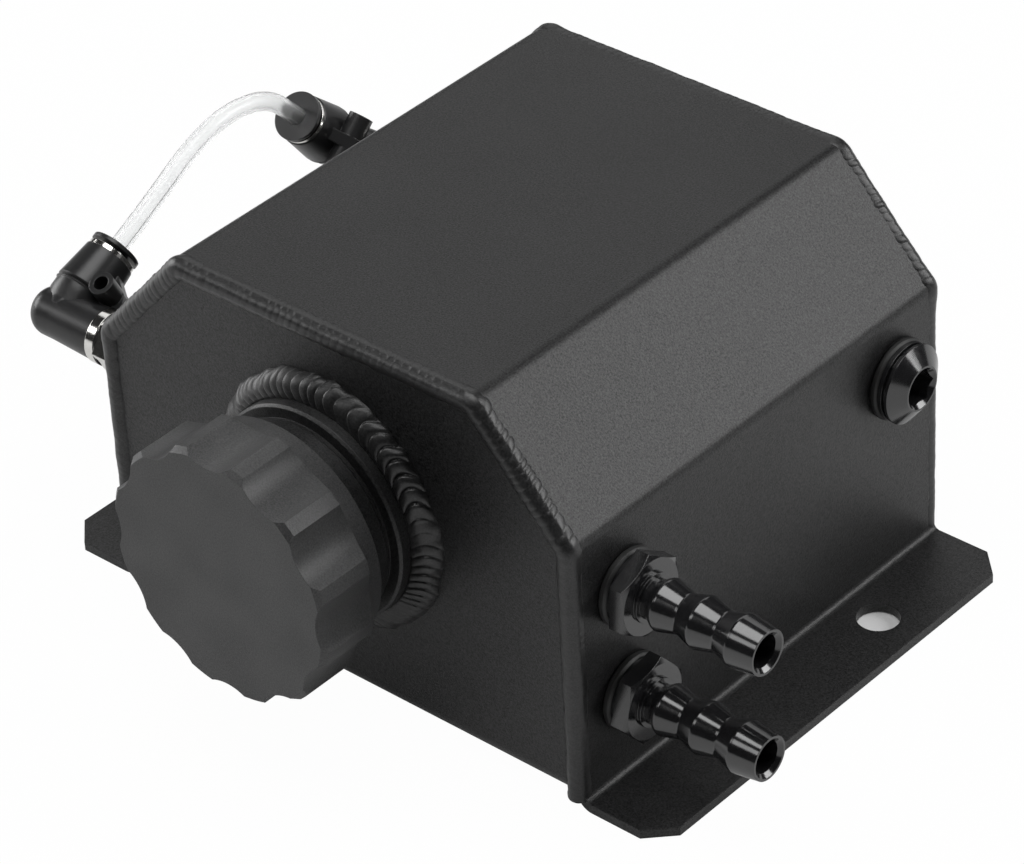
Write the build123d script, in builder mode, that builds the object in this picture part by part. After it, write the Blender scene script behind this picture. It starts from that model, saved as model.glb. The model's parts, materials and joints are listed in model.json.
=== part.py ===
from build123d import *
import os
from math import atan2, ceil, cos, degrees, pi, radians, sin, tan

# Oil catch can: a welded sheet tank on two flanges, with a screwed filler cap, two hose barbs,
# a drain plug and a clear sight tube. Millimetres. X to the right, Y to the back, Z up.
# The origin is the centre of the bolt holes on the mounting face.

# Tank
tank_width = 120.0
tank_length = 109.0
tank_height = 85.0
sheet = 2.0
shoulder_across = 22.3
shoulder_down = 24.5
fold_inside = 1.5
tray_fold_inside = 2.0
tray_lift = 2.0  # from the mounting face to the tray's underside
weld_gap = 0.1  # between the tray's edges and the wrap
slip = 0.05  # round pieces in their holes
wrap_short = 0.4  # the wrap ends this far short of the plates' outer faces

# Flanges
flange_width = 18.5
flange_cut = 5.3
bolt_hole = 8.8
bolt_inset = 9.5  # from a flange's outer edge
bolt_along = 48.0

# Weld beads
seam_radius = 2.15
seam_depth = 1.1  # from the plate's outer face to the bead's centre line
base_seam_radius = 1.5
base_seam_rise = 1.6

# Filler neck, measured outwards from the front plate
filler_height = 46.0
neck_root = 23.0
neck_inside = 6.0
neck_collar = 6.2
neck_groove = 20.3
neck_groove_width = 1.0
neck_barrel = 21.1
neck_top = 12.0
neck_bore = 17.2
neck_bevel = 0.5
neck_weld_leg = 5.0
neck_weld_rise = 3.5
neck_weld_crown = 0.7
thread_pitch = 3.0

# Filler cap
cap_face = 31.5
cap_radius = 27.3
cap_edge = 1.1
cap_grip_start = 18.2
cap_shoulder = 1.6
cap_skirt = 24.0
cap_skirt_end = 12.7
cap_skirt_wall = 1.8
cap_seat = 14.4
cap_end_wall = 4.0
cap_plug_wall = 3.6
cap_plug_length = 11.8
scallops = 12
scallop_radius = 9.5
scallop_depth = 2.4
running = 0.05  # thread and spindle clearance
face_gap = 0.1  # between flat faces that move apart
gasket_outer = 21.8
gasket_clearance = 0.35

# Ports on the right wall, their places measured from the tank's ends and the mounting face
front_inset = 14.0
rear_inset = 13.4
barb_below_fold = 15.5
barb_spacing = 24.5
drain_below_fold = 14.5
boss_depth = 10.0
boss_shoulder = 10.0
barb_boss_shoulder = 7.9
port_chamfer = 0.8

# Hose barbs, measured outwards from the wall
barb_thread = 6.2
barb_shank = 9.0
barb_bore = 3.3
barb_spigot = 7.2
barb_seal_outer = 8.0
barb_seal_thick = 1.9
barb_collar = 7.4
barb_collar_thick = 0.9
barb_hex = 15.6
barb_hex_thick = 3.5
barb_step = 5.1
barb_step_width = 0.7
barb_valley = 4.15
barb_peak = 5.4
barb_first = 3.8  # from the hexagon to the first peak
barb_pitch = 8.75
barb_rise = 4.0
barb_count = 3
barb_length = 27.1
barb_tip = 4.6
barb_mouth = 4.1
barb_rounding = 1.1
barb_foot_rounding = 0.6
barb_hex_turn = {"upper": 26.5, "lower": 10.5}

# Drain plug, measured outwards from the wall
drain_thread = 7.0
drain_shank = 9.0
drain_spigot = 8.2
drain_seal_outer = 8.5
drain_seal_thick = 1.9
drain_flange = 8.2
drain_flange_thick = 0.9
drain_neck = 7.3
drain_neck_width = 0.8
drain_rim = 8.3
drain_rim_width = 0.6
drain_cone = 2.4
drain_face = 4.75
drain_key = 7.0
drain_key_depth = 4.8
drain_key_mouth = 4.4  # the countersink's radius at the face
drain_key_sink = 0.6

# Sight fittings on the left wall, measured outwards from the wall or from the elbow's centre
sight_height = 44.5
sight_reach = 26.5
sight_boss = 8.0
sight_boss_out = 3.5
sight_weld_leg = 2.2
stud_thread = 4.85
stud_shank = 8.0
stud_bore = 1.5
stud_seal_thick = 1.2
stud_seal_outer = 6.4
stud_collar = 6.3
stud_collar_thick = 1.6
stud_hex = 11.0
stud_hex_thick = 6.2
stud_spigot = 3.5
stud_spigot_length = 8.5
stud_ring_place = 4.0
stud_ring_width = 1.6
stud_ring_depth = 0.9
barrel_root = 5.7
barrel_end = 5.2
barrel_past = 6.9
barrel_rounding = 4.0
outlet_neck = 5.3
outlet_sleeve = 6.4
outlet_mouth = 5.5
outlet_step = 5.6
outlet_body = 15.0
outlet_length = 17.6
outlet_tilt = {"front": 26.5, "rear": 46.5}
gusset_reach = 13.0
gusset_thick = 2.6
eyelet_place = 7.5
eyelet_outer = 2.65
eyelet_hole = 1.6
eyelet_height = 6.2
band_outer = 5.3
band_thick = 1.0
band_bore = 3.0
band_insert = 4.4
band_depth = 4.6
collar_outer = 5.4
collar_thick = 0.85
collar_stroke = 0.7
collar_depth = 5.5
claw_thick = 0.6
tube_seal_thick = 2.4
tube_outer = 2.0
tube_bore = 1.25
tube_start = 6.0  # from the elbow's centre to the tube's end
tube_grip = 0.05
tube_run = {"front": 28.0, "rear": 29.3}  # from the elbow's centre to the first corner of the tube's line
tube_crown = [(-1.7, 64.8), (9.0, 67.8)]

os.makedirs("parts", exist_ok=True)

half_width = tank_width / 2
half_length = tank_length / 2
wrap_length = tank_length - 2 * wrap_short
edge = half_width + flange_width
bolt_across = 2 * (edge - bolt_inset)
fold_outside = fold_inside + sheet
up = Vector(0, 0, 1)


def keep(piece, name):
    """Label a finished piece and write it to its own file."""
    piece.part.label = name
    export_step(piece.part, f"parts/{name}.step")


def shoulder_outline(inset, foot):
    """The tank's outline from the right foot over the top to the left foot, set in from the skin."""
    low_turn = atan2(shoulder_across, shoulder_down)
    high_turn = pi / 2 - low_turn
    side = half_width - inset
    side_end = tank_height - shoulder_down - inset * tan(low_turn / 2)
    top_end = half_width - shoulder_across - inset * tan(high_turn / 2)
    top = tank_height - inset
    right = [(side, foot), (side, side_end), (top_end, top)]
    return right + [(-x, z) for x, z in reversed(right)]


def profile_plane(foot, outward, across=up):
    """A plane for a turned profile: x runs outwards from the foot, y away from the axis."""
    return Plane(origin=foot, x_dir=outward, z_dir=Vector(*outward).cross(Vector(*across)))


def turned(foot, outward, outline, across=up):
    """The face of a turned profile, given as (distance outwards, radius) points."""
    with BuildSketch(profile_plane(foot, outward, across)) as face:
        with BuildLine():
            Polyline(*outline, close=True)
        make_face()
    return face.sketch


def seam_run(depth):
    """A weld bead round one end plate, its centre line in the wrap's thickness."""
    with BuildPart() as seam:
        with BuildLine(Plane.XZ.offset(depth)) as run:
            Polyline(*shoulder_outline(sheet, sheet))
        with BuildSketch(Plane(origin=run.line @ 0, z_dir=run.line % 0)):
            Circle(seam_radius)
        sweep(path=run.line, transition=Transition.RIGHT)
    return seam


# Weld beads: they have melted into the sheets, so the sheets are cut back to them
front_seam = seam_run(half_length - seam_depth)
keep(front_seam, "front_seam")
rear_seam = seam_run(seam_depth - half_length)
keep(rear_seam, "rear_seam")

base_seam_length = tank_length - 2 * (tray_fold_inside + sheet)
base_seams = {}
for name, side in (("left", -1), ("right", 1)):
    with BuildPart() as base_seam:
        with BuildSketch(Plane.XZ.offset(-base_seam_length / 2)):
            with Locations((side * (half_width - sheet - 0.5 * base_seam_radius), base_seam_rise)):
                Circle(base_seam_radius)
        extrude(amount=base_seam_length)
    base_seams[name] = base_seam
    keep(base_seam, f"base_seam_{name}")

# Where the ports are
front_port = front_inset - half_length
rear_port = half_length - rear_inset
fold_height = tank_height - shoulder_down
barb_heights = {"upper": fold_height - barb_below_fold, "lower": fold_height - barb_below_fold - barb_spacing}
drain_height = fold_height - drain_below_fold
filler = Vector(0, -half_length, filler_height)
out_front = Vector(0, -1, 0)
out_right = Vector(1, 0, 0)
out_left = Vector(-1, 0, 0)

# Wrap: flanges, walls, shoulders and top folded from one sheet
with BuildPart() as wrap:
    with BuildSketch(Plane.XZ.offset(wrap_length / 2)) as section:
        with BuildLine():
            FilletPolyline(
                (edge, sheet),
                *shoulder_outline(0, sheet),
                (-edge, sheet),
                radius=[fold_inside] + [fold_outside] * 4 + [fold_inside],
            )
            offset(amount=sheet, side=Side.LEFT)
        make_face()
    extrude(amount=-wrap_length)
    corners = wrap.edges().filter_by(Axis.Z).filter_by(lambda e: abs(e.center().X) > edge - sheet)
    chamfer(corners, length=flange_cut)
    with BuildSketch(Plane.XY):
        with GridLocations(bolt_across, bolt_along, 2, 2):
            Circle(bolt_hole / 2)
    extrude(amount=2 * sheet, mode=Mode.SUBTRACT)
    with BuildSketch(Plane.YZ.offset(half_width - 1.5 * sheet)):
        with Locations(*[(front_port, height) for height in barb_heights.values()]):
            Circle(barb_spigot + slip)
        with Locations((rear_port, drain_height)):
            Circle(drain_spigot + slip)
    extrude(amount=3 * sheet, mode=Mode.SUBTRACT)
    with BuildSketch(Plane.YZ.offset(-half_width - 1.5 * sheet)):
        with Locations((front_port, sight_height), (rear_port, sight_height)):
            Circle(sight_boss + slip)
    extrude(amount=3 * sheet, mode=Mode.SUBTRACT)
    add(front_seam.part, mode=Mode.SUBTRACT)
    add(rear_seam.part, mode=Mode.SUBTRACT)
    for base_seam in base_seams.values():
        add(base_seam.part, mode=Mode.SUBTRACT)
keep(wrap, "wrap")

# Tray: front plate, base and back plate folded from one sheet, set inside the wrap
tray_inset = sheet + weld_gap
tray_top = tank_height - tray_inset
with BuildPart() as tray:
    with BuildSketch(Plane.YZ):
        with BuildLine():
            FilletPolyline(
                (-half_length, tray_top),
                (-half_length, tray_lift),
                (half_length, tray_lift),
                (half_length, tray_top),
                radius=tray_fold_inside + sheet,
            )
            offset(amount=sheet, side=Side.LEFT)
        make_face()
    extrude(amount=half_width - tray_inset, both=True)
    with BuildSketch(Plane.XZ.offset(half_length + sheet)):
        with BuildLine():
            Polyline(*shoulder_outline(tray_inset, 0), close=True)
        make_face()
    extrude(amount=-tank_length - 2 * sheet, mode=Mode.INTERSECT)
    with BuildSketch(Plane.XZ.offset(half_length - 1.5 * sheet)):
        with Locations((0, filler_height)):
            Circle(neck_root + slip)
    extrude(amount=2 * sheet, mode=Mode.SUBTRACT)
    add(front_seam.part, mode=Mode.SUBTRACT)
    add(rear_seam.part, mode=Mode.SUBTRACT)
    for base_seam in base_seams.values():
        add(base_seam.part, mode=Mode.SUBTRACT)
keep(tray, "tray")

# Filler neck with its weld
groove_end = neck_collar + neck_groove_width
with BuildPart() as filler_neck:
    revolve(
        turned(
            filler,
            out_front,
            [
                (-neck_inside, neck_bore),
                (-neck_inside, neck_root),
                (neck_collar - neck_bevel, neck_root),
                (neck_collar, neck_root - neck_bevel),
                (neck_collar, neck_groove),
                (groove_end, neck_groove),
                (groove_end, neck_barrel - neck_bevel),
                (groove_end + neck_bevel, neck_barrel),
                (neck_top - neck_bevel, neck_barrel),
                (neck_top, neck_barrel - neck_bevel),
                (neck_top, neck_bore + neck_bevel),
                (neck_top - neck_bevel, neck_bore),
            ],
        ),
        axis=Axis(filler, out_front),
    )
keep(filler_neck, "filler_neck")

weld_toe = neck_root + neck_weld_leg
with BuildPart() as neck_weld:
    with BuildSketch(profile_plane(filler, out_front)) as bead:
        with BuildLine():
            toe = (0, weld_toe)
            head = (neck_weld_rise, neck_root)
            middle = (neck_weld_rise / 2 + neck_weld_crown, neck_root + neck_weld_leg / 2 + neck_weld_crown)
            ThreePointArc(toe, middle, head)
            Polyline(head, (0, neck_root), toe)
        make_face()
    revolve(axis=Axis(filler, out_front))
keep(neck_weld, "neck_weld")

# Filler cap: a scalloped grip, a skirt over the neck and a hollow threaded plug inside it
cap_plug = neck_bore - running
cap_hollow = cap_plug - cap_plug_wall
plug_end = cap_seat - cap_plug_length
scallop_orbit = cap_radius - scallop_depth + scallop_radius
with BuildPart() as filler_cap:
    revolve(
        turned(
            filler,
            out_front,
            [
                (cap_face - cap_end_wall, 0),
                (cap_face, 0),
                (cap_face, cap_radius - cap_edge),
                (cap_face - cap_edge, cap_radius),
                (cap_grip_start, cap_radius),
                (cap_grip_start - cap_shoulder, cap_skirt),
                (cap_skirt_end, cap_skirt),
                (cap_skirt_end, cap_skirt - cap_skirt_wall),
                (cap_seat, cap_skirt - cap_skirt_wall),
                (cap_seat, cap_plug),
                (plug_end + port_chamfer, cap_plug),
                (plug_end, cap_plug - port_chamfer),
                (plug_end, cap_hollow),
                (cap_face - cap_end_wall, cap_hollow),
            ],
        ),
        axis=Axis(filler, out_front),
    )
    with BuildSketch(Plane(origin=filler + out_front * cap_skirt_end, x_dir=(1, 0, 0), z_dir=out_front)):
        with PolarLocations(scallop_orbit, scallops):
            Circle(scallop_radius)
    extrude(amount=cap_face, mode=Mode.SUBTRACT)
keep(filler_cap, "filler_cap")

with BuildPart() as cap_gasket:
    with BuildSketch(Plane(origin=filler + out_front * (neck_top + face_gap), x_dir=(1, 0, 0), z_dir=out_front)):
        Circle(gasket_outer)
        Circle(cap_plug + gasket_clearance, mode=Mode.SUBTRACT)
    extrude(amount=cap_seat - neck_top - 2 * face_gap)
keep(cap_gasket, "cap_gasket")


def wall_boss(foot, outward, bore, spigot, shoulder):
    """A threaded boss whose spigot ends flush with the wall's outer face."""
    with BuildPart() as boss:
        revolve(
            turned(
                foot,
                outward,
                [
                    (-boss_depth, bore),
                    (-boss_depth, shoulder - port_chamfer),
                    (port_chamfer - boss_depth, shoulder),
                    (-sheet, shoulder),
                    (-sheet, spigot),
                    (0, spigot),
                    (0, bore),
                ],
            ),
            axis=Axis(foot, outward),
        )
    return boss


def seal_ring(foot, outward, start, thick, inner, outer, easing):
    """A flat rubber ring with an eased rim."""
    with BuildPart() as ring:
        revolve(
            turned(
                foot,
                outward,
                [(start, inner), (start, outer), (start + thick, outer), (start + thick, inner)],
            ),
            axis=Axis(foot, outward),
        )
        rims = ring.edges().filter_by(GeomType.CIRCLE).group_by(SortBy.RADIUS)[-1]
        chamfer(rims, length=easing)
    return ring


def barb_outline():
    """The hose end's outer line from the hexagon to the tip, its corners rounded."""
    start = barb_seal_thick + barb_collar_thick + barb_hex_thick
    peaks = [start + barb_first + barb_pitch * n for n in range(barb_count)]
    corners = [(start + barb_step_width, barb_valley), (peaks[0] - barb_rise / 2, barb_valley)]
    for peak in peaks:
        if peak > peaks[0]:
            corners.append((peak - barb_rise, barb_valley))
        corners.append((peak, barb_peak))
    corners.append((start + barb_length, barb_tip))
    return start, corners


# Hose barbs with their bosses and seals
seal_easing = 0.5
for name, height in barb_heights.items():
    foot = Vector(half_width, front_port, height)
    axis = Axis(foot, out_right)
    boss = wall_boss(foot, out_right, barb_thread + slip, barb_spigot, barb_boss_shoulder)
    keep(boss, f"hose_boss_{name}")
    keep(
        seal_ring(foot, out_right, 0, barb_seal_thick, barb_thread + slip, barb_seal_outer, seal_easing),
        f"hose_seal_{name}",
    )
    hex_start = barb_seal_thick + barb_collar_thick
    start, corners = barb_outline()
    with BuildPart() as barb:
        revolve(
            turned(
                foot,
                out_right,
                [
                    (-barb_shank, 0),
                    (-barb_shank, barb_thread - port_chamfer),
                    (port_chamfer - barb_shank, barb_thread),
                    (barb_seal_thick, barb_thread),
                    (barb_seal_thick, barb_collar),
                    (hex_start, barb_collar),
                    (hex_start, barb_step),
                    (start + barb_step_width, barb_step),
                    (start + barb_step_width, 0),
                ],
            ),
            axis=axis,
        )
        with BuildSketch(profile_plane(foot, out_right)):
            with BuildLine() as hose_line:
                roundings = [barb_foot_rounding] + [barb_rounding] * (len(corners) - 3)
                FilletPolyline(*corners, radius=roundings)
                Polyline(corners[-1], (start + barb_length, 0), (start + barb_step_width, 0), corners[0])
            make_face()
        revolve(axis=axis)
        with BuildSketch(Plane(origin=foot + out_right * hex_start, x_dir=(0, 1, 0), z_dir=out_right)):
            RegularPolygon(radius=barb_hex / 2, side_count=6, major_radius=False, rotation=barb_hex_turn[name])
        extrude(amount=barb_hex_thick)
        bevel = barb_hex / 2 / cos(radians(30)) - barb_hex / 2
        revolve(
            turned(
                foot,
                out_right,
                [
                    (start - 0.58 * bevel, barb_hex / 2 + bevel),
                    (start, barb_hex / 2 + bevel),
                    (start, barb_hex / 2),
                ],
            ),
            axis=axis,
            mode=Mode.SUBTRACT,
        )
        revolve(
            turned(
                foot,
                out_right,
                [
                    (-barb_shank, 0),
                    (-barb_shank, barb_bore),
                    (start + barb_length + barb_bore - barb_mouth, barb_bore),
                    (start + barb_length, barb_mouth),
                    (start + barb_length, 0),
                ],
            ),
            axis=axis,
            mode=Mode.SUBTRACT,
        )
    keep(barb, f"hose_barb_{name}")

# Drain: boss, seal and plug
drain = Vector(half_width, rear_port, drain_height)
drain_axis = Axis(drain, out_right)
keep(wall_boss(drain, out_right, drain_thread + running, drain_spigot, boss_shoulder), "drain_boss")
keep(
    seal_ring(
        drain,
        out_right,
        face_gap,
        drain_seal_thick - 2 * face_gap,
        drain_thread + gasket_clearance,
        drain_seal_outer,
        seal_easing,
    ),
    "drain_seal",
)
flange_end = drain_seal_thick + drain_flange_thick
rim_start = flange_end + drain_neck_width
rim_end = rim_start + drain_rim_width
plug_face = rim_end + drain_cone
with BuildPart() as drain_plug:
    revolve(
        turned(
            drain,
            out_right,
            [
                (-drain_shank, 0),
                (-drain_shank, drain_thread - port_chamfer),
                (port_chamfer - drain_shank, drain_thread),
                (drain_seal_thick, drain_thread),
                (drain_seal_thick, drain_flange),
                (flange_end, drain_flange),
                (flange_end, drain_neck),
                (rim_start, drain_neck),
                (rim_start, drain_rim),
                (rim_end, drain_rim),
                (plug_face, drain_face),
                (plug_face, 0),
            ],
        ),
        axis=drain_axis,
    )
    with BuildSketch(Plane(origin=drain + out_right * plug_face, x_dir=(0, 1, 0), z_dir=out_right)):
        RegularPolygon(radius=drain_key / 2, side_count=6, major_radius=False)
    extrude(amount=-drain_key_depth, mode=Mode.SUBTRACT)
    revolve(
        turned(
            drain,
            out_right,
            [
                (plug_face - drain_key_mouth, 0),
                (plug_face - drain_key_sink, drain_key_mouth - drain_key_sink),
                (plug_face, drain_key_mouth),
                (plug_face, 0),
            ],
        ),
        axis=drain_axis,
        mode=Mode.SUBTRACT,
    )
keep(drain_plug, "drain_plug")

# Sight fittings: boss, stud, elbow and push-in collar at each end of the tube
stud_start = sight_boss_out + stud_seal_thick
hex_from = stud_start + stud_collar_thick
hex_to = hex_from + stud_hex_thick
spigot_to = hex_to + stud_spigot_length
ring_from = hex_to + stud_ring_place
sight_x = -half_width - sight_reach
tube_ends = {}
for name, port, lean in (("front", front_port, 1), ("rear", rear_port, -1)):
    foot = Vector(-half_width, port, sight_height)
    axis = Axis(foot, out_left)
    tilt = radians(outlet_tilt[name])
    centre = Vector(sight_x, port, sight_height)
    outlet = Vector(0, lean * cos(tilt), sin(tilt))
    outlet_axis = Axis(centre, outlet)
    run_points = [centre + outlet * tube_start, centre + outlet * tube_run[name]]
    tube_ends[name] = [(point.Y, point.Z) for point in run_points]

    with BuildPart() as boss:
        revolve(
            turned(
                foot,
                out_left,
                [
                    (-stud_shank, stud_thread + slip),
                    (-stud_shank, sight_boss),
                    (sight_boss_out - port_chamfer, sight_boss),
                    (sight_boss_out, sight_boss - port_chamfer),
                    (sight_boss_out, stud_thread + slip),
                ],
            ),
            axis=axis,
        )
    keep(boss, f"sight_boss_{name}")

    with BuildPart() as weld:
        revolve(
            turned(
                foot,
                out_left,
                [(0, sight_boss), (0, sight_boss + sight_weld_leg), (sight_weld_leg, sight_boss)],
            ),
            axis=axis,
        )
    keep(weld, f"sight_weld_{name}")

    keep(
        seal_ring(
            foot, out_left, sight_boss_out, stud_seal_thick, stud_thread + slip, stud_seal_outer, seal_easing / 2
        ),
        f"stud_seal_{name}",
    )

    with BuildPart() as stud:
        revolve(
            turned(
                foot,
                out_left,
                [
                    (-stud_shank, stud_bore),
                    (-stud_shank, stud_thread),
                    (stud_start, stud_thread),
                    (stud_start, stud_collar),
                    (hex_from, stud_collar),
                    (hex_from, stud_spigot),
                    (ring_from, stud_spigot),
                    (ring_from, stud_spigot - stud_ring_depth),
                    (ring_from + stud_ring_width, stud_spigot - stud_ring_depth),
                    (ring_from + stud_ring_width, stud_spigot),
                    (spigot_to, stud_spigot),
                    (spigot_to, stud_bore),
                ],
            ),
            axis=axis,
        )
        with BuildSketch(Plane(origin=foot + out_left * hex_from, x_dir=(0, 1, 0), z_dir=out_left)):
            RegularPolygon(radius=stud_hex / 2, side_count=6, major_radius=False)
            Circle(stud_bore, mode=Mode.SUBTRACT)
        extrude(amount=stud_hex_thick)
    keep(stud, f"sight_stud_{name}")

    with BuildPart() as stud_ring:
        revolve(
            turned(
                foot,
                out_left,
                [
                    (ring_from, stud_spigot - stud_ring_depth),
                    (ring_from, stud_spigot),
                    (ring_from + stud_ring_width, stud_spigot),
                    (ring_from + stud_ring_width, stud_spigot - stud_ring_depth),
                ],
            ),
            axis=axis,
        )
    keep(stud_ring, f"stud_ring_{name}")

    # the elbow's plane holds both of its axes; its flat side faces up and away from the outlet
    elbow_side = Plane(origin=centre, x_dir=out_right, z_dir=out_right.cross(outlet))
    seat_from = outlet_body - band_depth
    claw_from = seat_from - claw_thick
    seal_from = claw_from - tube_seal_thick
    with BuildPart() as elbow:
        revolve(
            turned(
                foot,
                out_left,
                [(hex_to, 0), (hex_to, barrel_root), (sight_reach, barrel_end), (sight_reach, 0)],
            ),
            axis=axis,
        )
        with BuildSketch(Plane(origin=centre, x_dir=(0, 1, 0), z_dir=out_left)):
            Circle(barrel_end)
        extrude(amount=barrel_past)
        fillet(elbow.faces().sort_by(Axis.X)[0].edges(), radius=barrel_rounding)
        revolve(
            turned(
                centre,
                outlet,
                [
                    (0, 0),
                    (0, outlet_neck),
                    (outlet_step, outlet_neck),
                    (outlet_step + outlet_sleeve - outlet_neck, outlet_sleeve),
                    (outlet_body, outlet_mouth),
                    (outlet_body, 0),
                ],
                across=out_right,
            ),
            axis=outlet_axis,
        )
        with BuildSketch(elbow_side.offset(-gusset_thick / 2)):
            with BuildLine():
                Polyline(
                    (0, 0),
                    (gusset_reach, 0),
                    (gusset_reach, barrel_end - 1),
                    (eyelet_place + eyelet_outer, eyelet_place + eyelet_outer / 2),
                    (outlet_mouth - 1, gusset_reach),
                    (0, gusset_reach),
                    close=True,
                )
            make_face()
        extrude(amount=gusset_thick)
        with BuildSketch(elbow_side.offset(-eyelet_height)):
            with Locations((eyelet_place, eyelet_place)):
                Circle(eyelet_outer)
        extrude(amount=2 * eyelet_height)
        with BuildSketch(elbow_side.offset(-eyelet_height)):
            with Locations((eyelet_place, eyelet_place)):
                Circle(eyelet_hole)
        extrude(amount=2 * eyelet_height, mode=Mode.SUBTRACT)
        revolve(
            turned(
                foot,
                out_left,
                [
                    (hex_to, 0),
                    (hex_to, stud_spigot + slip),
                    (spigot_to, stud_spigot + slip),
                    (spigot_to, stud_bore),
                    (sight_reach, stud_bore),
                    (sight_reach, 0),
                ],
            ),
            axis=axis,
            mode=Mode.SUBTRACT,
        )
        revolve(
            turned(
                centre,
                outlet,
                [
                    (0, 0),
                    (0, tube_bore),
                    (tube_start, tube_bore),
                    (tube_start, tube_outer + tube_grip),
                    (seal_from, tube_outer + tube_grip),
                    (seal_from, band_insert + slip),
                    (outlet_body, band_insert + slip),
                    (outlet_body, 0),
                ],
                across=out_right,
            ),
            axis=outlet_axis,
            mode=Mode.SUBTRACT,
        )
    keep(elbow, f"elbow_{name}")

    with BuildPart() as tube_seal:
        revolve(
            turned(
                centre,
                outlet,
                [
                    (seal_from, tube_outer + tube_grip),
                    (seal_from, band_insert),
                    (claw_from, band_insert),
                    (claw_from, tube_outer + tube_grip),
                ],
                across=out_right,
            ),
            axis=outlet_axis,
        )
    keep(tube_seal, f"tube_seal_{name}")

    with BuildPart() as claw:
        revolve(
            turned(
                centre,
                outlet,
                [
                    (claw_from, tube_outer + tube_grip),
                    (claw_from, band_insert),
                    (seat_from, band_insert),
                    (seat_from, band_bore),
                ],
                across=out_right,
            ),
            axis=outlet_axis,
        )
    keep(claw, f"claw_ring_{name}")

    with BuildPart() as band:
        revolve(
            turned(
                centre,
                outlet,
                [
                    (seat_from, band_bore),
                    (seat_from, band_insert),
                    (outlet_body, band_insert),
                    (outlet_body, band_outer),
                    (outlet_body + band_thick, band_outer),
                    (outlet_body + band_thick, band_bore),
                ],
                across=out_right,
            ),
            axis=outlet_axis,
        )
    keep(band, f"band_{name}")

    disc_from = outlet_length - collar_thick
    with BuildPart() as collar:
        revolve(
            turned(
                centre,
                outlet,
                [
                    (disc_from - collar_depth, tube_outer + running),
                    (disc_from - collar_depth, band_bore - running),
                    (disc_from, band_bore - running),
                    (disc_from, collar_outer),
                    (outlet_length, collar_outer),
                    (outlet_length, tube_outer + running),
                ],
                across=out_right,
            ),
            axis=outlet_axis,
        )
    keep(collar, f"release_collar_{name}")

# Sight tube: straight runs joined by tangent arcs, in the plane of both elbows
tube_points = tube_ends["front"] + tube_crown + tube_ends["rear"][::-1]
tube_radii = []
for before, corner, after in zip(tube_points, tube_points[1:], tube_points[2:]):
    run_in = Vector(*corner) - Vector(*before)
    run_out = Vector(*after) - Vector(*corner)
    half_turn = radians(run_in.get_angle(run_out)) / 2
    tube_radii.append(0.45 * min(run_in.length, run_out.length) / tan(half_turn))
print("sight tube bends", [round(radius, 1) for radius in tube_radii])
with BuildPart() as sight_tube:
    with BuildLine(Plane.YZ.offset(sight_x)) as route:
        FilletPolyline(*tube_points, radius=tube_radii)
    with BuildSketch(Plane(origin=route.line @ 0, z_dir=route.line % 0)):
        Circle(tube_outer)
        Circle(tube_bore, mode=Mode.SUBTRACT)
    sweep(path=route.line)
keep(sight_tube, "sight_tube")
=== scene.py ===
import json
from math import atan2, ceil, copysign, cos, hypot, pi, radians, sin, tan, tau

import bmesh
import bpy
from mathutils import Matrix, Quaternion, Vector, noise


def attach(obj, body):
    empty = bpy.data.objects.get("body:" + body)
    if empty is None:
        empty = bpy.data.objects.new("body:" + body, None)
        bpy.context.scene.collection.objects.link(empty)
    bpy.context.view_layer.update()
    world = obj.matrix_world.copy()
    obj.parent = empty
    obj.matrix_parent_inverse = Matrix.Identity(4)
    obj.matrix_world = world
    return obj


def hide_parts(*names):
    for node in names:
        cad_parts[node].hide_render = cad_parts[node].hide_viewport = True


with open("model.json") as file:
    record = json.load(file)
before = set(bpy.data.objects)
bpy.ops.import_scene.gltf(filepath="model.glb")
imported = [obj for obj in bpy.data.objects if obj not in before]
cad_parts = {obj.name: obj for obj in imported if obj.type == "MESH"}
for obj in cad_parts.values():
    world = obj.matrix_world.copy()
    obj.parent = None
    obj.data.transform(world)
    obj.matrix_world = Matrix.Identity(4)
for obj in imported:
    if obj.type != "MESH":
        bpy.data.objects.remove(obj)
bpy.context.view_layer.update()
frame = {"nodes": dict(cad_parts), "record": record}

nodes = frame["nodes"]
print("frame loaded:", len(nodes), "nodes")


class Socket:
    # one output of a shader node; sums written with it add their own Math nodes
    def __init__(self, paint, output):
        self.paint = paint
        self.output = output

    def maths(self, operation, *values):
        return self.paint.add("ShaderNodeMath", {"operation": operation}, dict(enumerate(values)))

    def __add__(self, other):
        return self.maths("ADD", self, other)

    def __radd__(self, other):
        return self.maths("ADD", other, self)

    def __sub__(self, other):
        return self.maths("SUBTRACT", self, other)

    def __rsub__(self, other):
        return self.maths("SUBTRACT", other, self)

    def __mul__(self, other):
        return self.maths("MULTIPLY", self, other)

    def __rmul__(self, other):
        return self.maths("MULTIPLY", other, self)

    def __lt__(self, other):
        return self.maths("LESS_THAN", self, other)

    def sine(self):
        return self.maths("SINE", self)

    def clamped(self):
        return self.paint.add("ShaderNodeClamp", {}, {"Value": self})


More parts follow.
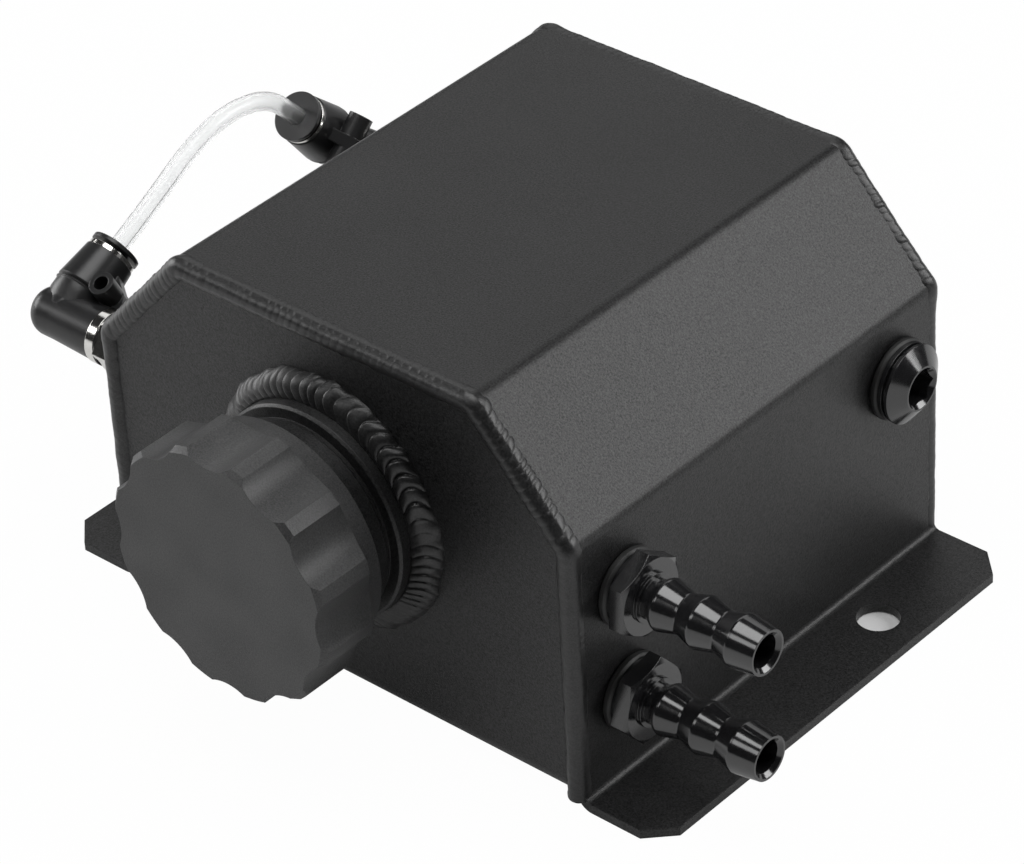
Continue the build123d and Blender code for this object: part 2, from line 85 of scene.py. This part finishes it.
class Paint:
    # the node tree of a material, or of the world
    def __init__(self, name, owner=None):
        self.material = owner or bpy.data.materials.new(name)
        self.material.use_nodes = True
        self.tree = self.material.node_tree
        self.shader = self.tree.nodes["Background" if owner else "Principled BSDF"]
        self.place = self.add("ShaderNodeTexCoord", {}, {}, "Object")

    def add(self, kind, settings, values, output=0):
        node = self.tree.nodes.new(kind)
        for name, value in settings.items():
            setattr(node, name, value)
        for name, value in values.items():
            self.feed(node.inputs[name], value)
        return Socket(self, node.outputs[output])

    def feed(self, plug, value):
        if isinstance(value, Socket):
            self.tree.links.new(value.output, plug)
        else:
            plug.default_value = value

    def noise(self, size, detail=2, roughness=0.5, stretch=None):
        place = self.place
        if stretch:
            place = self.add("ShaderNodeMapping", {}, {"Vector": place, "Scale": stretch})
        fields = {"Vector": place, "Scale": 1 / size, "Detail": detail, "Roughness": roughness}
        return self.add("ShaderNodeTexNoise", {}, fields)

    def between(self, factor, dark, light):
        fields = {"Factor": factor, 6: (*dark, 1), 7: (*light, 1)}
        return self.add("ShaderNodeMix", {"data_type": "RGBA"}, fields, 2)

    def axes(self):
        return [self.add("ShaderNodeSeparateXYZ", {}, {0: self.place}, n) for n in range(3)]

    def ray(self, kind):
        return self.add("ShaderNodeLightPath", {}, {}, kind)

    def eased(self, radius):
        # rounds sharp edges in the shading
        return self.add("ShaderNodeBevel", {"samples": 6}, {"Radius": radius})

    def bumped(self, height, depth, below):
        # below is the normal that the bumps stand on
        return self.add("ShaderNodeBump", {}, {"Height": height, "Distance": depth, "Strength": 1.0, "Normal": below})

    def finish(self, **sockets):
        names = {
            "base": "Base Color", "rough": "Roughness", "metal": "Metallic", "ior": "IOR",
            "specular": "Specular IOR Level", "through": "Transmission Weight", "normal": "Normal",
            "coat": "Coat Weight", "coatRough": "Coat Roughness",
        }
        for name, value in sockets.items():
            self.feed(self.shader.inputs[names[name]], value)
        return self.material


# Finishes

coatLook = {
    "dark": (0.0, 0.0, 0.0), "light": (0.0255, 0.0255, 0.026), "specular": 0.26, "fleck": 0.32, "fleckSpread": 1.3,
    "rough": 0.4, "roughSpread": 0.35, "grain": 0.00036, "grainShare": 2.2, "grainDepth": 0.00009,
    "cloud": 0.03, "cloudShare": 0.4, "peel": 0.0013, "peelDepth": 0.00001, "edge": 0.0004,
}


def powderCoat(name, look):
    paint = Paint(name)
    grain = paint.noise(look["grain"], detail=3, roughness=0.7)
    peel = paint.noise(look["peel"], detail=1)
    cloud = paint.noise(look["cloud"], detail=2)
    mixed = (grain - 0.5) * look["grainShare"] + 0.25 + cloud * look["cloudShare"]
    shade = paint.between(mixed, look["dark"], look["light"])
    rough = look["rough"] + (grain - 0.5) * look["roughSpread"]
    fine = paint.bumped(grain, look["grainDepth"], paint.eased(look["edge"]))
    normal = paint.bumped(peel, look["peelDepth"], fine)
    flecks = ((grain - 0.5) * look["fleckSpread"] + look["fleck"]).clamped()
    return paint.finish(
        base=shade, rough=rough, normal=normal, specular=look["specular"], coat=flecks, coatRough=look["rough"]
    )


capLook = {
    "dark": (0.02, 0.02, 0.0205), "light": (0.094, 0.094, 0.0945), "specular": 0.34,
    "rough": 0.38, "roughSpread": 0.3, "grain": 0.00034, "grainShare": 1.6, "grainDepth": 0.00005,
    "cloud": 0.012, "cloudShare": 0.5, "edge": 0.00014,
}


def mattAnodised(name, look):
    paint = Paint(name)
    grain = paint.noise(look["grain"], detail=3, roughness=0.65)
    cloud = paint.noise(look["cloud"], detail=1)
    mixed = (grain - 0.5) * look["grainShare"] + 0.25 + cloud * look["cloudShare"]
    shade = paint.between(mixed, look["dark"], look["light"])
    rough = look["rough"] + (grain - 0.5) * look["roughSpread"]
    normal = paint.bumped(grain, look["grainDepth"], paint.eased(look["edge"]))
    return paint.finish(base=shade, rough=rough, normal=normal, specular=look["specular"])


fittingLook = {
    "dark": (0.008, 0.008, 0.0085), "light": (0.014, 0.014, 0.015), "specular": 0.95,
    "rough": 0.15, "roughSpread": 0.1, "mist": 0.0009, "ring": 0.00016, "ringDepth": 0.000002, "edge": 0.00014,
}


def glossAnodised(name, look):
    paint = Paint(name)
    across = paint.axes()[0]
    rings = (across * (tau / look["ring"])).sine() * 0.5 + 0.5
    mist = paint.noise(look["mist"], detail=2)
    shade = paint.between(mist, look["dark"], look["light"])
    rough = look["rough"] + (mist - 0.5) * look["roughSpread"]
    normal = paint.bumped(rings * 0.7 + mist * 0.3, look["ringDepth"], paint.eased(look["edge"]))
    return paint.finish(base=shade, rough=rough, normal=normal, specular=look["specular"])


rubberLook = {
    "dark": (0.012, 0.012, 0.012), "light": (0.022, 0.022, 0.022),
    "rough": 0.55, "roughSpread": 0.15, "grain": 0.0004, "grainDepth": 0.00001, "edge": 0.0003,
}


def blackRubber(name, look):
    paint = Paint(name)
    grain = paint.noise(look["grain"], detail=2)
    shade = paint.between(grain, look["dark"], look["light"])
    rough = look["rough"] + (grain - 0.5) * look["roughSpread"]
    normal = paint.bumped(grain, look["grainDepth"], paint.eased(look["edge"]))
    return paint.finish(base=shade, rough=rough, normal=normal)


elbowLook = {
    "dark": (0.01, 0.01, 0.0105), "light": (0.017, 0.017, 0.0175),
    "rough": 0.34, "roughSpread": 0.16, "grain": 0.0005, "grainDepth": 0.000012, "flow": 0.004, "edge": 0.0003,
}


def mouldedPlastic(name, look):
    paint = Paint(name)
    grain = paint.noise(look["grain"], detail=3)
    flow = paint.noise(look["flow"], detail=1)
    shade = paint.between(grain * 0.6 + flow * 0.4, look["dark"], look["light"])
    rough = look["rough"] + (grain - 0.5) * look["roughSpread"]
    normal = paint.bumped(grain, look["grainDepth"], paint.eased(look["edge"]))
    return paint.finish(base=shade, rough=rough, normal=normal)


nickelLook = {
    "dark": (0.70, 0.69, 0.66), "light": (0.86, 0.85, 0.83),
    "rough": 0.16, "roughSpread": 0.1, "smear": 0.0008, "smearDepth": 0.000004, "edge": 0.00018,
}


def brightNickel(name, look):
    paint = Paint(name)
    smear = paint.noise(look["smear"], detail=2, stretch=(1, 4, 4))
    shade = paint.between(smear, look["dark"], look["light"])
    rough = look["rough"] + (smear - 0.5) * look["roughSpread"]
    normal = paint.bumped(smear, look["smearDepth"], paint.eased(look["edge"]))
    return paint.finish(base=shade, metal=1.0, rough=rough, normal=normal)


tubeLook = {
    "dark": (0.95, 0.955, 0.955), "light": (0.975, 0.98, 0.98),
    "rough": 0.2, "roughSpread": 0.04, "haze": 0.012, "through": 0.93, "ior": 1.3,
}


def clearTube(name, look):
    paint = Paint(name)
    haze = paint.noise(look["haze"], detail=1)
    shade = paint.between(haze, look["dark"], look["light"])
    rough = look["rough"] + (haze - 0.5) * look["roughSpread"]
    return paint.finish(base=shade, rough=rough, through=look["through"], ior=look["ior"])


steelLook = {**nickelLook, "dark": (0.5, 0.5, 0.5), "light": (0.62, 0.62, 0.62), "rough": 0.3}

coat = powderCoat("satin black coat", coatLook)
weldCoat = powderCoat(
    "coated weld",
    {
        **coatLook, "light": (0.022, 0.022, 0.0225), "specular": 0.36, "fleck": 0.44, "fleckSpread": 0.5,
        "rough": 0.4, "roughSpread": 0.2, "grainDepth": 0.00003, "edge": 0.0001,
    },
)
capBlack = mattAnodised("matt black cap", capLook)
fittingBlack = glossAnodised("gloss black fitting", fittingLook)
rubber = blackRubber("black rubber", rubberLook)
elbowBlack = mouldedPlastic("black moulding", elbowLook)
nickel = brightNickel("bright nickel", nickelLook)
steel = brightNickel("spring steel", steelLook)
tubeClear = clearTube("clear tube", tubeLook)
slotPaints = {
    "coat": coat, "coated_weld": weldCoat, "black_cap": capBlack, "black_fitting": fittingBlack, "rubber": rubber,
    "elbow_plastic": elbowBlack, "nickel": nickel, "steel": steel, "clear_tube": tubeClear,
}
slotOf = {part["node"]: part["material_slot"] for part in frame["record"]["subparts"]}
for name, node in nodes.items():
    node.data.materials.clear()
    node.data.materials.append(slotPaints[slotOf[name]])
print("finishes ready")


# Shapes

def pieceFrom(mesh, name, paint, replaced, smoothAngle):
    # turns a bmesh into a finished piece that rides on the tank
    data = bpy.data.meshes.new(name)
    mesh.to_mesh(data)
    mesh.free()
    piece = bpy.data.objects.new(name, data)
    bpy.context.scene.collection.objects.link(piece)
    data.materials.append(paint)
    data.shade_smooth()
    data.set_sharp_from_angle(angle=smoothAngle)
    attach(piece, "tank")
    if replaced:
        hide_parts(*replaced)


def laidGrid(along, around, place):
    # a grid whose points are moved onto a surface: place takes two shares from 0 to 1
    mesh = bmesh.new()
    bmesh.ops.create_grid(mesh, x_segments=along, y_segments=around, size=0.5)
    for point in mesh.verts:
        point.co = place(point.co.x + 0.5, point.co.y + 0.5)
    bmesh.ops.remove_doubles(mesh, verts=mesh.verts, dist=2e-6)
    bmesh.ops.recalc_face_normals(mesh, faces=mesh.faces)
    return mesh


def closeEnds(mesh):
    openEnds = [edge for edge in mesh.edges if len(edge.link_faces) == 1]
    bmesh.ops.holes_fill(mesh, edges=openEnds, sides=0)
    bmesh.ops.recalc_face_normals(mesh, faces=mesh.faces)


def roundedRun(points, radius, step):
    # points along a line whose corners are rounded, about a step apart
    points = [Vector(point) for point in points]
    run = [points[0]]
    for before, corner, after in zip(points, points[1:], points[2:]):
        towards, away = (before - corner).normalized(), (after - corner).normalized()
        half = towards.angle(away) / 2
        reach = radius / tan(half)
        middle = corner + (towards + away).normalized() * (radius / sin(half))
        start, end = corner + towards * reach, corner + away * reach
        turn = (start - middle).angle(end - middle)
        axis = (start - middle).cross(end - middle).normalized()
        pieces = max(3, ceil(turn * radius / step))
        run += [middle + Quaternion(axis, turn * n / pieces) @ (start - middle) for n in range(pieces + 1)]
    run.append(points[-1])
    lengths = [0.0]
    for before, after in zip(run, run[1:]):
        lengths.append(lengths[-1] + (after - before).length)
    count = ceil(lengths[-1] / step)
    even, index = [], 0
    for n in range(count + 1):
        want = lengths[-1] * n / count
        while index < len(run) - 2 and lengths[index + 1] < want:
            index += 1
        share = (want - lengths[index]) / max(1e-9, lengths[index + 1] - lengths[index])
        even.append(run[index].lerp(run[index + 1], share))
    return even, lengths[-1]


tank = {
    "width": 0.12, "length": 0.109, "height": 0.085, "sheet": 0.002, "shoulderAcross": 0.0223, "shoulderDown": 0.0245,
}
weldSmooth = radians(70)


def rippled(count, across, look, seed, height):
    # frozen ripples of a weld, counted along it: each laps over the one before; across runs from -1 to 1
    wobble = noise.noise(Vector((count * 0.31, seed, 0))) * look["unrest"]
    phase = count + wobble - look["bow"] * across * across
    share = phase % 1.0
    strength = 0.75 + 0.5 * noise.noise(Vector((phase - share, seed, 3.3)))
    crest = 1 - abs(2 * share ** look["lean"] - 1) ** look["round"]
    return height * strength * crest * max(0.0, 1 - across * across) ** 0.4


# ripple heights run from the right foot over the top to the left foot
seamLook = {
    "wide": 0.0023, "lip": 0.00002, "lipSquare": 2.6, "tail": 0.004, "proud": 0.00195, "square": 1.62,
    "inset": 0.00218, "depth": 0.00098, "corner": 0.0026, "step": 0.0002,
    "around": 44, "heights": (0.00005, 0.00026, 0.00013, 0.00026, 0.00006),
    "skinSide": 1.0, "middle": 0.3, "faceSide": 0.55, "swell": 0.0002, "ragged": 0.0004,
    "ripple": 0.0019, "bow": 1.5, "lean": 0.62, "round": 3.0, "unrest": 1.0, "wander": 0.00012,
    "crest": 45, "halfOpen": 125, "lump": 0.0045, "pimple": 0.0012, "rag": 0.0032, "fineRag": 0.0011,
    "change": 0.004, "swellReach": 0.003,
}


def seamBead(name, look, side, seed, replaced):
    inset, foot = look["inset"], tank["sheet"]
    half = tank["width"] / 2
    lowTurn = atan2(tank["shoulderAcross"], tank["shoulderDown"])
    highTurn = pi / 2 - lowTurn
    corner = (half - inset, tank["height"] - tank["shoulderDown"] - inset * tan(lowTurn / 2))
    crown = (half - tank["shoulderAcross"] - inset * tan(highTurn / 2), tank["height"] - inset)
    rightSide = [(half - inset, foot), corner, crown]
    outline = rightSide + [(-x, z) for x, z in reversed(rightSide)]
    y = side * (tank["length"] / 2 - look["depth"])
    run, length = roundedRun([(x, y, z) for x, z in outline], look["corner"], look["step"])
    bends = [0.0]
    for (x, z), (nextX, nextZ) in zip(outline, outline[1:]):
        bends.append(bends[-1] + hypot(nextX - x, nextZ - z))
    face = Vector((0, side, 0))
    steps = len(run) - 1
    ends = 2 / look["square"]

    def uneven(travel, size, *rest):
        return noise.noise(Vector((travel / size, *rest)))

    def heightAt(travel):
        height = look["heights"][0]
        for bend, before, after in zip(bends[1:-1], look["heights"], look["heights"][1:]):
            height += (after - before) * min(1.0, max(0.0, (travel - bend) / look["change"] + 0.5))
        return height

    def place(share, turn):
        index = min(steps, round(share * steps))
        here = run[index]
        ahead = (run[min(steps, index + 1)] - run[max(0, index - 1)]).normalized()
        out = Vector((0, 1, 0)).cross(ahead)
        travel = index / steps * length
        angle = tau * turn
        level, lift = cos(angle), sin(angle)
        wide = look["wide"]
        if level < 0 < lift:
            # the toe on the plate is ragged
            loose = uneven(travel, look["rag"], seed, 7.1) + 0.5 * uneven(travel, look["fineRag"], seed, 9.4)
            wide += look["ragged"] * loose * min(1.0, -level * 1.5)
        sideEnds, reach = ends, look["proud"]
        if level > 0:
            # the toe on the skin laps over it and runs out flat behind
            wide += look["lip"]
            sideEnds = 2 / look["lipSquare"]
            if lift < 0:
                reach += (look["tail"] - reach) * level
        grow = 0.0
        lean = (angle - radians(look["crest"]) + pi) % tau - pi
        across = lean / radians(look["halfOpen"])
        if abs(across) < 1:
            fade = 1 - across * across
            if across < 0:
                part = look["middle"] + (look["skinSide"] - look["middle"]) * min(1.0, -across / 0.3)
            else:
                part = look["middle"] + (look["faceSide"] - look["middle"]) * min(1.0, across / 0.3)
            grow = rippled(travel / look["ripple"], across, look, seed, heightAt(travel)) * part
            lump = uneven(travel, look["lump"], across * 1.1, seed)
            pimple = uneven(travel, look["pimple"], across * 3, seed)
            grow += (lump + 0.35 * pimple) * look["wander"] * fade
            near = min(abs(travel - bend) for bend in bends[1:-1])
            grow += look["swell"] * 2.7 ** (-(near / look["swellReach"]) ** 2) * fade
        sideways = copysign(abs(level) ** sideEnds, level) * wide + level * grow
        forward = copysign(abs(lift) ** ends, lift) * reach + lift * grow
        return here + out * sideways + face * forward

    mesh = laidGrid(steps, look["around"], place)
    closeEnds(mesh)
    pieceFrom(mesh, name, weldCoat, replaced, weldSmooth)


seamBead("frontSeamBead", seamLook, -1, 3.1, ["front_seam"])
seamBead("rearSeamBead", seamLook, 1, 8.4, ["rear_seam"])

baseSeamLook = {
    "radius": 0.00148, "rise": 0.0016, "length": 0.101, "offset": 0.05725, "step": 0.0003, "around": 20,
    "height": 0.0001, "ripple": 0.0024, "bow": 0.5, "lean": 0.6, "round": 2.5, "unrest": 0.5,
}


def baseSeam(name, look, side, seed, replaced):
    steps = ceil(look["length"] / look["step"])

    def place(share, turn):
        angle = tau * turn
        lean = (angle + pi / 2 + pi) % tau - pi
        reach = look["radius"]
        if abs(lean) < pi / 2:
            count = share * look["length"] / look["ripple"]
            reach += rippled(count, lean / (pi / 2), look, seed, look["height"])
        travel = (share - 0.5) * look["length"]
        return Vector((side * look["offset"] + reach * cos(angle), travel, look["rise"] + reach * sin(angle)))

    mesh = laidGrid(steps, look["around"], place)
    closeEnds(mesh)
    pieceFrom(mesh, name, weldCoat, replaced, weldSmooth)


baseSeam("baseSeamLeft", baseSeamLook, -1, 1.7, ["base_seam_left"])
baseSeam("baseSeamRight", baseSeamLook, 1, 5.2, ["base_seam_right"])

# ripples: share of the way round, spacing and height, from the start at the upper left
neckWeldLook = {
    "centre": (0, -0.0545, 0.046), "root": 0.023, "toe": 0.0279, "rise": 0.0035, "crown": 0.0009, "start": 150,
    "ripples": (
        (0, 0.0018, 0.0004), (0.17, 0.0021, 0.00042), (0.21, 0.003, 0.0003), (0.265, 0.0031, 0.0006),
        (0.285, 0.0029, 0.0011), (0.355, 0.0029, 0.0011), (0.375, 0.0028, 0.0001), (0.4, 0.0026, 0.0001),
        (0.42, 0.0024, 0.0006), (0.49, 0.0018, 0.0005), (0.52, 0.0018, 0.00015), (1, 0.0022, 0.0003),
    ),
    "bow": 0.8, "lean": 0.55, "round": 3.0, "unrest": 0.3, "wander": 0.0003, "edge": 0.0007,
    "steps": 1400, "around": 40, "shown": 0.8, "join": 0.012, "sunk": 0.0002, "inside": 0.0003,
}


def ringWeld(name, look, outward, replaced, seed):
    # a fillet weld round a turned neck: the toe lies on the plate, the head on the neck
    centre, outward = Vector(look["centre"]), Vector(outward)
    side = Vector((1, 0, 0)) if abs(outward.x) < 0.5 else Vector((0, 1, 0))
    upward = Vector((0, 0, 1))
    steps = look["steps"]
    circumference = tau * (look["toe"] + look["root"]) / 2
    counts, heights, count = [], [], 0.0
    for n in range(steps + 1):
        share = n / steps
        for (start, pitch, height), (stop, lastPitch, lastHeight) in zip(look["ripples"], look["ripples"][1:]):
            if start <= share <= stop:
                blend = (share - start) / (stop - start)
                pitch += (lastPitch - pitch) * blend
                height += (lastHeight - height) * blend
                break
        counts.append(count)
        heights.append(height)
        count += circumference / steps / pitch

    def place(share, turn):
        # turn goes over the visible arc first, then back through the metal
        index = round(share * steps)
        angle = radians(look["start"]) - tau * index / steps
        if turn <= look["shown"]:
            part = turn / look["shown"]
            across = 2 * part - 1
            spread = noise.noise(Vector((cos(angle) * 9, sin(angle) * 9, seed))) * look["edge"]
            toe = look["toe"] + spread
            out, far = look["rise"] * part, toe + (look["root"] - toe) * part
            slope = Vector((toe - look["root"], look["rise"])).normalized()
            blend = min(1.0, share / look["join"], (1 - share) / look["join"])
            lump = noise.noise(Vector((cos(angle) * 5, sin(angle) * 5, seed + across * 0.6)))
            lift = look["crown"] * (1 - across * across) + look["wander"] * lump * (1 - across * across)
            lift += rippled(counts[index], across, look, seed, heights[index]) * blend
            out += slope[0] * lift
            far += slope[1] * lift
        else:
            part = (turn - look["shown"]) / (1 - look["shown"])
            out = look["rise"] * (1 - part) ** 2 - look["sunk"]
            far = look["root"] - look["inside"] + (look["toe"] - look["root"]) * part * part
        return centre + outward * out + (side * cos(angle) + upward * sin(angle)) * far

    mesh = laidGrid(steps, look["around"], place)
    pieceFrom(mesh, name, weldCoat, replaced, weldSmooth)


ringWeld("neckWeldBead", neckWeldLook, (0, -1, 0), ["neck_weld"], 2.6)
sightWeldLook = {
    **neckWeldLook, "root": 0.008, "toe": 0.0102, "rise": 0.0022, "crown": 0.0003, "steps": 360, "around": 24,
    "ripples": ((0, 0.0018, 0.0002), (1, 0.0019, 0.0002)), "wander": 0.0001, "edge": 0.0002,
}
for end, y, seed in (("front", -0.0405, 4.4), ("rear", 0.0411, 6.8)):
    sightWeld = {**sightWeldLook, "centre": (-0.06, y, 0.0445)}
    ringWeld(f"sightWeldBead{end.capitalize()}", sightWeld, (-1, 0, 0), [f"sight_weld_{end}"], seed)
print("weld beads laid")

# the elbow's neck is nearly as wide as its mouth, and a bright ring closes its barrel
elbowFormLook = {
    "centre": {"front": (-0.0865, -0.0405, 0.0445), "rear": (-0.0865, 0.0411, 0.0445)},
    "outlet": {"front": (1, 26.5), "rear": (-1, 46.5)},
    "low": 0.00525, "high": 0.00612, "mouth": 0.0064, "step": 0.0056, "inner": 0.0048, "around": 96,
    "ringFrom": 0.0114, "ringTo": 0.0136, "ringRadius": 0.00566, "ringProud": 0.00012, "ringSunk": 0.0006,
}


def elbowSleeve(name, end, look):
    lean, tilt = look["outlet"][end]
    outlet = Vector((0, lean * cos(radians(tilt)), sin(radians(tilt))))
    sideways, across = Vector((1, 0, 0)), Vector((1, 0, 0)).cross(outlet)
    middle = Vector(look["centre"][end])
    low, high, mouth, step, inner = (look[key] for key in ("low", "high", "mouth", "step", "inner"))
    # how far along, reach along the barrel and reach across it
    outline = [
        (0.0, inner, inner), (0.0, high - 0.0002, low), (0.0015, high, low), (0.0036, high, high - 0.0001),
        (step, high, high), (step + 0.00028, mouth, mouth), (step + 0.0006, mouth - 0.0004, mouth - 0.0004),
        (step + 0.0006, inner, inner), (0.0, inner, inner),
    ]

    def place(share, turn):
        along, wide, deep = outline[round(share * (len(outline) - 1))]
        return middle + outlet * along + sideways * (wide * cos(tau * turn)) + across * (deep * sin(tau * turn))

    mesh = laidGrid(len(outline) - 1, look["around"], place)
    pieceFrom(mesh, name, elbowBlack, None, radians(38))


def barrelRing(name, end, look):
    middle = Vector(look["centre"][end])
    inside, outside = look["ringRadius"] - look["ringSunk"], look["ringRadius"] + look["ringProud"]
    start, stop = look["ringFrom"], look["ringTo"]
    corners = [(start, inside), (stop, inside), (stop, outside), (start, outside)]
    mesh = bmesh.new()
    points = [mesh.verts.new((along, 0, radius)) for along, radius in corners]
    edges = [mesh.edges.new((points[n], points[(n + 1) % 4])) for n in range(4)]
    turned = {"cent": (0, 0, 0), "axis": (1, 0, 0), "angle": tau, "steps": look["around"], "use_merge": True}
    bmesh.ops.spin(mesh, geom=points + edges, **turned)
    bmesh.ops.remove_doubles(mesh, verts=mesh.verts, dist=1e-6)
    bmesh.ops.translate(mesh, verts=mesh.verts, vec=middle)
    bmesh.ops.recalc_face_normals(mesh, faces=mesh.faces)
    pieceFrom(mesh, name, nickel, None, radians(30))


for end in ("front", "rear"):
    elbowSleeve(f"elbowSleeve{end.capitalize()}", end, elbowFormLook)
    barrelRing(f"barrelRing{end.capitalize()}", end, elbowFormLook)
print("elbow forms added")

# Surroundings

# under: the share of white where the flanges lie, seen through their bolt holes
floorLook = {
    "size": 4.0, "drop": 0.0002, "shade": 0.75, "rough": 0.7, "specular": 0.2,
    "white": 0.98, "under": 0.05, "sheen": 0.08, "flanges": (0.0765, 0.043),
}


def paleFloor(look):
    mesh = bmesh.new()
    bmesh.ops.create_grid(mesh, x_segments=1, y_segments=1, size=look["size"] / 2)
    bmesh.ops.translate(mesh, verts=mesh.verts, vec=(0, 0, -look["drop"]))
    data = bpy.data.meshes.new("floor")
    mesh.to_mesh(data)
    mesh.free()
    floor = bpy.data.objects.new("floor", data)
    bpy.context.scene.collection.objects.link(floor)
    paint = Paint("pale floor")
    paint.finish(base=(look["shade"],) * 3 + (1,), rough=look["rough"], specular=look["specular"])
    seen = paint.ray("Is Camera Ray") + paint.ray("Is Transmission Ray")
    mirrored = paint.ray("Is Glossy Ray")
    glow = paint.add("ShaderNodeEmission", {}, {"Color": (1, 1, 1, 1), "Strength": 1.0})
    across, along, _ = paint.axes()
    halfWide, halfLong = look["flanges"]
    under = (across * across < halfWide ** 2) * (along * along < halfLong ** 2)
    share = seen * (look["white"] - under * (look["white"] - look["under"])) + mirrored * look["sheen"]
    both = paint.add("ShaderNodeMixShader", {}, {0: share, 1: Socket(paint, paint.shader.outputs[0]), 2: glow})
    paint.tree.links.new(both.output, paint.tree.nodes["Material Output"].inputs["Surface"])
    data.materials.append(paint.material)


paleFloor(floorLook)

worldLook = {"dim": 0.01, "white": 1.0}


def studioWorld(look):
    world = bpy.data.worlds.new("studio")
    bpy.context.scene.world = world
    paint = Paint("studio", world)
    seen = (paint.ray("Is Camera Ray") + paint.ray("Is Transmission Ray")).clamped()
    paint.feed(paint.shader.inputs["Color"], paint.between(seen, (look["dim"],) * 3, (look["white"],) * 3))


studioWorld(worldLook)

# place, width and height, watts; all point at the tank's middle
lampAim = Vector((0, 0, 0.04))
lampLook = {
    "rearRight": {"place": (0.95, 0.92, 0.78), "size": (0.9, 0.7), "power": 12.2},
    "rearLeft": {"place": (-0.85, 0.95, 0.95), "size": (1.1, 0.9), "power": 3.0},
    "front": {"place": (-0.26, -1.05, 1.02), "size": (0.4, 0.4), "power": 1.5},
    "leftFront": {"place": (-0.97, -0.93, 0.86), "size": (0.42, 0.42), "power": 2.0},
    "left": {"place": (-1.4, -0.32, 0.4), "size": (0.8, 0.6), "power": 8.6},
    "overhead": {"place": (0.0, -0.1, 1.4), "size": (1.0, 1.0), "power": 12.8},
}
for name, look in lampLook.items():
    lamp = bpy.data.lights.new(name, "AREA")
    lamp.shape = "RECTANGLE"
    lamp.size, lamp.size_y = look["size"]
    lamp.energy = look["power"]
    holder = bpy.data.objects.new(name, lamp)
    holder.location = look["place"]
    holder.rotation_euler = (lampAim - Vector(look["place"])).to_track_quat("-Z", "Y").to_euler()
    bpy.context.scene.collection.objects.link(holder)

cameraLook = {
    "place": (0.5094, -0.5519, 0.5636), "aim": (0.0011, -0.0051, 0.0337), "roll": -3.25, "lens": 164.1, "sensor": 36,
}
cameraData = bpy.data.cameras.new("camera")
cameraData.lens = cameraLook["lens"]
cameraData.sensor_width = cameraLook["sensor"]
camera = bpy.data.objects.new("camera", cameraData)
camera.location = cameraLook["place"]
gaze = (Vector(cameraLook["aim"]) - Vector(cameraLook["place"])).to_track_quat("-Z", "Y")
camera.rotation_mode = "QUATERNION"
camera.rotation_quaternion = gaze @ Quaternion((0, 0, 1), radians(cameraLook["roll"]))
bpy.context.scene.collection.objects.link(camera)
bpy.context.scene.camera = camera
bpy.context.scene.view_settings.view_transform = "Standard"
print("studio set")
